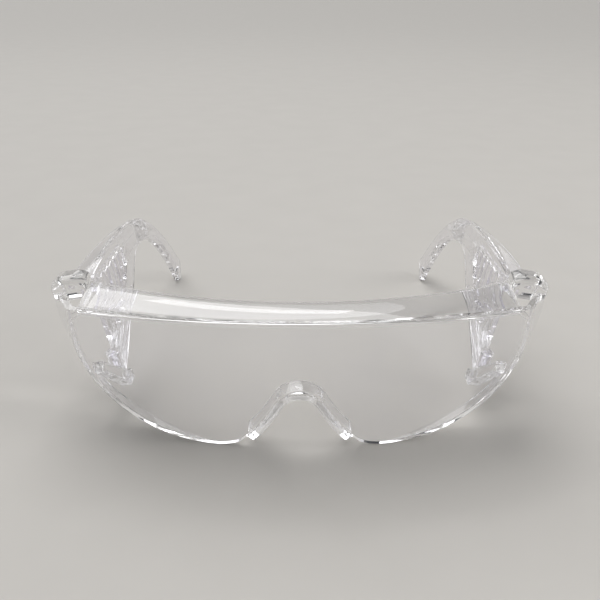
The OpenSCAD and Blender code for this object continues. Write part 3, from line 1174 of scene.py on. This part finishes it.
@dataclass
class Temple:
    """A folding temple: tapered panel, top flange, lower rib, knuckles, vent, recess and lanyard hole."""

    stance: Stance
    finish: bpy.types.Material
    vent: VentLouvres = field(default_factory=VentLouvres)
    wall: float = 2.0
    reach: float = 117.0
    drop: float = 58.5
    rise: float = 4.2
    edge_round: float = 0.3
    # The upper edge: its shoulder, and the control points of its two curves, the first one above the rise.
    shoulder: Point2 = (67.0, -5.5)
    rise_pull: Point2 = (25.0, 0.4)
    shoulder_pull: Point2 = (50.0, 0.2)
    bend_pulls: tuple[Point2, Point2] = ((88.0, -14.8), (106.0, -36.0))
    rise_steps: int = 20
    bend_steps: int = 24
    # The tip: points inwards from the reach and up from the drop.
    tip: Point2 = (3.0, 9.5)
    tip_pulls: tuple[Point2, Point2] = ((1.2, 8.0), (0.2, 6.6))
    tip_end: Point2 = (0.0, 5.5)
    toe_pulls: tuple[Point2, Point2] = ((1.2, 3.6), (5.5, 0.0))
    toe: Point2 = (8.0, 0.0)
    heel: Point2 = (11.3, 1.0)
    tip_steps: int = 6
    toe_steps: int = 8
    # The under edge and the ear arch.
    under_pulls: tuple[Point2, Point2] = ((97.0, -40.0), (84.0, -17.0))
    arch_start: Point2 = (60.0, -14.5)
    arch_pulls: tuple[Point2, Point2] = ((52.0, -13.0), (46.0, -18.0))
    arch_end: Point2 = (38.0, -22.5)
    under_steps: int = 24
    arch_steps: int = 12
    # The top flange, the lower rib, the bars under the vent and the middle rib.
    flange_w: float = 6.3
    flange_len: float = 58.0
    flange_stop: float = 0.5
    rib_wall: float = 1.6
    rib_out: float = 1.4
    rib_low: float = -38.6
    rib_lap: float = 0.2
    rib_ease: float = 0.05
    rim_wall: float = 1.3
    rim_lap: float = 0.5
    bar_ease: float = 0.1
    middle_inset: float = 0.3
    middle_front: tuple[float, float] = (-32.0, -30.5)
    middle_rear: tuple[Point2, Point2] = ((27.6, -24.9), (28.0, -23.6))
    middle_out: float = 0.7
    # The lanyard hole and the recess.
    hole_r: float = 1.6
    hole: Point2 = (110.3, -54.2)
    recess_depth: float = 0.5
    recess_ends: tuple[float, float] = (44.0, 61.0)
    recess_height: float = -1.4
    recess_r: float = 2.4
    recess_turn: float = -9.0
    recess_past: float = 3.0
    # The knuckles, their bores and the room for the lugs.
    hinge: HingeSizes = HingeSizes()
    knuckle_ease: float = 0.02
    bore_stop: float = 1.0
    lower_knuckle_h: float = 6.8
    neck_lap: float = 1.0
    notch_gap: float = 0.6
    notch_below: float = 6.0
    cut_past: float = 1.0

    @property
    def half(self) -> float:
        """Half of the panel's wall."""
        return self.wall / 2

    def at_tip(self, point: Point2) -> Point2:
        """A point that is given inwards from the reach and up from the drop."""
        return self.reach - point[0], -self.drop + point[1]

    def top_edge(self) -> list[Point2]:
        """The panel's upper edge.

        Returns:
            The points from the hinge to the tip.
        """
        pull = (self.rise_pull[0], self.rise + self.rise_pull[1])
        first = bezier((0, self.rise), pull, self.shoulder_pull, self.shoulder, self.rise_steps)
        return first + bezier(self.shoulder, *self.bend_pulls, self.at_tip(self.tip), self.bend_steps)[1:]

    def rib_start(self) -> Point2:
        """Where the lower rib meets the front edge."""
        return self.hinge.knuckle_r - self.rib_lap, self.rib_low

    def outline(self) -> list[Point2]:
        """Outline of the panel in its own plane.

        Returns:
            The points in order, from the hinge along the upper edge and back.
        """
        end = self.at_tip(self.tip_end)
        top = self.top_edge()
        tip_round = bezier(top[-1], *map(self.at_tip, self.tip_pulls), end, self.tip_steps)
        toe_round = bezier(end, *map(self.at_tip, self.toe_pulls), self.at_tip(self.toe), self.toe_steps)
        under = bezier(self.at_tip(self.heel), *self.under_pulls, self.arch_start, self.under_steps)
        arch = bezier(self.arch_start, *self.arch_pulls, self.arch_end, self.arch_steps)
        start = self.rib_start()
        front = [start, (start[0], 0.0), (0.0, 0.0)]
        return top + tip_round[1:] + toe_round[1:] + under + arch[1:] + front

    def flange(self) -> bpy.types.Object:
        """The flange that stands out along the top edge, tapering to the panel.

        Returns:
            The closed flange, in the left hinge's frame.
        """
        inner = -self.half + self.rib_ease
        rings = []
        for s, h in self.top_edge():
            if s > self.flange_len - self.flange_stop:
                break
            out = self.flange_w + (self.half - self.flange_w) * s / self.flange_len
            low = h - self.rib_wall
            rings.append([(inner, s, h), (out, s, h), (out, s, low), (inner, s, low)])
        return loft("flange", rings)

    def rib(self) -> bpy.types.Object:
        """The rib along the lower edge, from the lower knuckle to the arch.

        Returns:
            The closed rib, in the left hinge's frame.
        """
        (s0, h0), (s1, h1) = self.rib_start(), self.arch_end
        outline = [(s0, h0), (s1, h1), (s1, h1 + self.rib_wall), (s0, h0 + self.rib_wall)]
        return prism("rib", outline, -self.half + self.rib_ease, self.half + self.rib_out, PANEL)

    def vent_rim(self) -> list[bpy.types.Object]:
        """The raised bars along the vent's lower edge.

        Returns:
            One closed bar for each straight stretch, in the left hinge's frame.
        """
        inner, outer = -self.half + self.bar_ease, self.half + self.vent.slat_out - self.bar_ease
        _, _, end, knee, start = self.vent.opening()
        made = []
        for (s0, h0), (s1, h1) in ((start, knee), (knee, end)):
            s0, s1 = s0 - self.rim_lap, s1 + self.rim_lap
            outline = [(s0, h0 - self.rim_wall), (s1, h1 - self.rim_wall), (s1, h1), (s0, h0)]
            made.append(prism("rim", outline, inner, outer, PANEL))
        return made

    def middle_rib(self) -> bpy.types.Object:
        """The low rib from the lower knuckle's head towards the arch.

        Returns:
            The closed rib, in the left hinge's frame.
        """
        start = self.rib_start()[0] + self.middle_inset
        low, high = self.middle_front
        outline = [(start, low), *self.middle_rear, (start, high)]
        return prism("middle_rib", outline, -self.half + self.bar_ease, self.half + self.middle_out, PANEL)

    def recess(self) -> bpy.types.Object:
        """The oblong recess of the outer face, left plain.

        Returns:
            The closed space, in the left hinge's frame.
        """
        turn = math.radians(self.recess_turn)
        near, far = self.recess_ends
        flat = arc_points((far, self.recess_height), self.recess_r, range(-90, 91, ARC_STEP))
        flat += arc_points((near, self.recess_height), self.recess_r, range(90, 271, ARC_STEP))
        outline = [(s * math.cos(turn) - h * math.sin(turn), s * math.sin(turn) + h * math.cos(turn))
                   for s, h in flat]
        return prism("recess", outline, self.half - self.recess_depth, self.half + self.recess_past, PANEL)

    def neck(self, low: float, high: float) -> bpy.types.Object:
        """The web that carries the lower knuckle.

        Args:
            low: The height of the knuckle's foot.
            high: The height of its head.

        Returns:
            The closed web, in the left hinge's frame.
        """
        ease = self.knuckle_ease
        end = self.rib_start()[0] + self.neck_lap
        outline = [(0, low + ease), (end, low + ease), (end, high - ease), (0, high - ease)]
        return prism("neck", outline, -self.half + ease, self.half - ease, PANEL)

    def through(self, name: str, outline: Sequence[Point2]) -> bpy.types.Object:
        """A cut right through the panel, in the left hinge's frame."""
        return prism(name, outline, -self.half - self.cut_past, self.half + self.cut_past, PANEL)

    def body(self) -> bpy.types.Object:
        """Builds the left temple.

        Returns:
            The closed temple, in the left hinge's frame.
        """
        top = -self.hinge.lower_drop
        low = top + self.hinge.turn_gap
        high = low + self.lower_knuckle_h
        arm = prism("temple", self.outline(), -self.half, self.half, PANEL)
        join(arm, self.flange(), Join.ADD)
        join(arm, self.rib(), Join.ADD)
        join(arm, post("knuckle", self.hinge.knuckle_r, 0.0, self.rise - self.knuckle_ease), Join.ADD)
        join(arm, post("knuckle", self.hinge.knuckle_r, low, high), Join.ADD)
        join(arm, self.neck(low, high), Join.ADD)
        join(arm, self.through("vent", self.vent.opening()), Join.CUT)
        join(arm, self.recess(), Join.CUT)
        for bar in [*self.vent_rim(), self.middle_rib()]:
            join(arm, bar, Join.ADD)
        notch = self.hinge.knuckle_r + self.hinge.turn_gap + self.notch_gap
        join(arm, post("notch", notch, -self.hinge.lug_h - 2 * self.hinge.turn_gap, 0.0), Join.CUT)
        join(arm, post("notch", notch, top - self.hinge.lower_h - self.notch_below, low), Join.CUT)
        bevelled(arm, self.edge_round, flat_faces=True)
        foot = top - self.bore_stop
        join(arm, post("bore", self.hinge.pin_r, -self.bore_stop, self.rise - self.bore_stop), Join.CUT)
        join(arm, post("bore", self.hinge.pin_r, foot, foot + self.lower_knuckle_h), Join.CUT)
        join(arm, self.through("hole", circle(self.hole, self.hole_r)), Join.CUT)
        join(arm, self.vent.slats(self.finish), Join.ADD)
        for hood in self.vent.hoods():
            join(arm, hood, Join.ADD)
        return cleaned(arm)

    def build(self, side: Side) -> bpy.types.Object:
        """Builds a temple and sets it on its hinge.

        Args:
            side: The wearer's side.

        Returns:
            The piece, dressed and riding on its body.
        """
        arm = self.body()
        arm.name = f"{side.word}_temple_moulding"
        moved(arm, self.stance.standing() @ side.mirror @ self.stance.hinge())
        shaded(arm)
        arm.data.materials.clear()
        arm.data.materials.append(self.finish)
        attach(arm, f"{side.word}_temple")
        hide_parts(f"{side.word}_temple", f"{side.word}_vent_louvres")
        return arm


@dataclass
class HingePins:
    """The two short pins of a hinge: both with eased ends, the lower one with a small head at its foot."""

    stance: Stance
    finish: bpy.types.Material
    hinge: HingeSizes = HingeSizes()
    head_r: float = 1.6
    head_h: float = 1.2
    head_ease: float = 0.02
    ease: float = 0.25
    # Heights of each pin's foot and top.
    upper: tuple[float, float] = (-3.15, 3.2)
    lower: tuple[float, float] = (-37.35, -27.2)
    sides: int = 40

    def turned(self, name: str, profile: Sequence[Point2]) -> bpy.types.Object:
        """Turns a profile round the hinge axis.

        Args:
            name: The object's name.
            profile: Radius and height of each ring, from the foot up.

        Returns:
            The closed pin, in the left hinge's frame.
        """
        return loft(name, [[(x, y, z) for x, y in circle((0, 0), r, self.sides)] for r, z in profile])

    def build(self, side: Side) -> list[bpy.types.Object]:
        """Builds a hinge's pins.

        Args:
            side: The wearer's side.

        Returns:
            The upper and the lower pin, dressed and riding.
        """
        r, e, wide = self.hinge.pin_r, self.ease, self.head_r
        foot, top = self.upper
        upper = [(r - e, foot), (r, foot + e), (r, top - e), (r - e, top)]
        foot, top = self.lower
        low = foot - self.head_h
        lower = [(wide - e, low), (wide, low + e), (wide, foot - e), (wide - e, foot - self.head_ease),
                 (r, foot), (r, top - e), (r - e, top)]
        made = []
        for word, profile in (("upper", upper), ("lower", lower)):
            pin = self.turned(f"{side.word}_{word}_hinge_pin", profile)
            moved(pin, self.stance.standing() @ side.mirror @ self.stance.hinge())
            shaded(pin)
            pin.data.materials.append(self.finish)
            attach(pin, f"{side.word}_temple")
            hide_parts(f"{side.word}_{word}_pin")
            made.append(pin)
        return made


@dataclass(frozen=True)
class SoftBox:
    """A soft box: its name, its place and its width and height in metres, and its power in watts."""

    name: str
    at: Point3
    size: tuple[float, float]
    power: float

    def hang(self, aim: Point3) -> bpy.types.Object:
        """Hangs the soft box.

        Args:
            aim: The point that it faces.

        Returns:
            The lamp.
        """
        data = bpy.data.lights.new(self.name, "AREA")
        data.shape = "RECTANGLE"
        data.size, data.size_y = self.size
        data.energy = self.power
        obj = placed(self.name, data)
        obj.location = self.at
        obj.rotation_euler = (Vector(aim) - Vector(self.at)).to_track_quat("-Z", "Y").to_euler()
        return obj


@dataclass
class Studio:
    """Pale floor, soft lights and the camera, in metres and degrees."""

    floor_half: float = 4.0
    floor_drop: float = 0.0002
    floor_steps: int = 8
    camera_at: Point3 = (0.00009, -0.277172, 0.142451)
    camera_look: Point3 = (0.0, 0.914889, -0.403705)
    camera_lens: float = 45.0
    camera_sensor: float = 36.0
    camera_near: float = 0.01
    sky: str = "#C4C6C9"
    sky_strength: float = 0.75
    backdrop: str = "#D2D0CC"
    ceiling: str = "#3C3E42"
    # Where the pale wall ends and the dark ceiling starts, as the height of a direction of length 1.
    wall_top: float = 0.3
    ceiling_from: float = 0.65
    ceiling_power: float = 1.55
    ceiling_spread: float = 60.0
    ceiling_tilt: tuple[float, float] = (-28.0, -18.0)
    lamp_aim: Point3 = (0.0, 0.0, 0.02)
    soft_boxes: tuple[SoftBox, ...] = (
        SoftBox("top_soft_box", (-0.2, 0.75, 1.3), (0.8, 0.2), 1.8),
        SoftBox("side_soft_box", (0.9, -0.25, 0.6), (0.25, 0.7), 2.5))

    def camera(self) -> bpy.types.Object:
        """Sets the camera where the photograph was taken from.

        Returns:
            The camera, which is the scene's own.
        """
        data = bpy.data.cameras.new("camera")
        data.lens = self.camera_lens
        data.sensor_width = self.camera_sensor
        data.sensor_fit = "HORIZONTAL"
        data.clip_start = self.camera_near
        cam = placed("camera", data)
        cam.location = self.camera_at
        cam.rotation_euler = Vector(self.camera_look).to_track_quat("-Z", "Y").to_euler()
        bpy.context.scene.camera = cam
        return cam

    def floor(self) -> bpy.types.Object:
        """Lays the pale floor just under the object.

        Returns:
            The floor.
        """
        s, steps = self.floor_half, self.floor_steps
        n = steps + 1
        verts = [(-s + 2 * s * i / steps, -s + 2 * s * j / steps, -self.floor_drop)
                 for j in range(n) for i in range(n)]
        mesh = bpy.data.meshes.new("floor")
        mesh.from_pydata(verts, [], [(j * n + i, j * n + i + 1, (j + 1) * n + i + 1, (j + 1) * n + i)
                                     for j in range(steps) for i in range(steps)])
        mesh.materials.append(PaintedFloor().material())
        obj = placed("floor", mesh)
        return obj

    def ceiling_light(self) -> bpy.types.Object:
        """Lights the whole floor evenly, with a soft shadow.

        Returns:
            The lamp.
        """
        data = bpy.data.lights.new("ceiling_light", "SUN")
        data.energy = self.ceiling_power
        data.angle = math.radians(self.ceiling_spread)
        obj = placed("ceiling_light", data)
        obj.rotation_euler = (*map(math.radians, self.ceiling_tilt), 0)
        return obj

    def world(self) -> bpy.types.World:
        """Fills the surroundings with an even pale light.

        The camera and the clear plastic see a pale wall that darkens to a ceiling, so that clear edges show.

        Returns:
            The world, which is the scene's own.
        """
        world = bpy.data.worlds.new("studio")
        tree = blank_tree(world)
        sky = add_node(tree, "ShaderNodeBackground",
                       {"Color": linear(self.sky), "Strength": self.sky_strength})
        where = add_node(tree, "ShaderNodeTexCoord")
        axis = add_node(tree, "ShaderNodeSeparateXYZ", {}, {"Vector": where.outputs["Generated"]})
        height = add_node(tree, "ShaderNodeMapRange",
                          {"From Min": self.wall_top, "From Max": self.ceiling_from},
                          {"Value": axis.outputs["Z"]})
        room = add_node(tree, "ShaderNodeMix",
                        {"data_type": "RGBA", 6: linear(self.backdrop), 7: linear(self.ceiling)},
                        {0: height.outputs["Result"]})
        wall = add_node(tree, "ShaderNodeBackground", {"Strength": 1.0}, {"Color": room.outputs[2]})
        ray = add_node(tree, "ShaderNodeLightPath").outputs
        seen = add_node(tree, "ShaderNodeMath", {"operation": "MAXIMUM"},
                        {0: ray["Is Camera Ray"], 1: ray["Is Glossy Ray"]})
        seen = add_node(tree, "ShaderNodeMath", {"operation": "MAXIMUM"},
                        {0: seen.outputs[0], 1: ray["Is Transmission Ray"]})
        shown = add_node(tree, "ShaderNodeMixShader", {},
                         {0: seen.outputs[0], 1: sky.outputs[0], 2: wall.outputs[0]})
        add_node(tree, "ShaderNodeOutputWorld", {}, {"Surface": shown.outputs[0]})
        bpy.context.scene.world = world
        return world

    def build(self) -> None:
        """Builds the studio."""
        self.camera()
        self.floor()
        self.world()
        for box in self.soft_boxes:
            box.hang(self.lamp_aim)
        self.ceiling_light()


def allow_inner_reflections(scene: bpy.types.Scene, turns: int) -> None:
    """Lets light turn often enough inside the clear walls that their edges don't go black.

    Args:
        scene: The scene.
        turns: Reflections and passes that a ray may make.
    """
    scene.cycles.max_bounces = turns
    scene.cycles.glossy_bounces = turns
    scene.cycles.transmission_bounces = turns


def main() -> None:
    """Loads the frame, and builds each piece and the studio."""
    logging.basicConfig(level=logging.INFO, format="%(name)s: %(message)s")
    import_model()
    bpy.context.scene.view_settings.view_transform = "Standard"
    allow_inner_reflections(bpy.context.scene, INNER_TURNS)
    stance = Stance()
    clear_front = MouldedPolycarbonate("clear_polycarbonate_polished_mould").material()
    clear_temple = MouldedPolycarbonate("clear_polycarbonate_temple_mould", clear="#FDFDFE", depth="#F7F6FB",
                                        haze=0.07, flow_mm=11.0).material()
    made = [FrontMoulding(stance, clear_front).build()]
    for side in Side:
        made.append(Temple(stance, clear_temple).build(side))
        made += HingePins(stance, clear_temple).build(side)
    for piece in made:
        log.info("%s: %d faces", piece.name, len(piece.data.polygons))
    Studio().build()


if __name__ == "__main__":
    main()
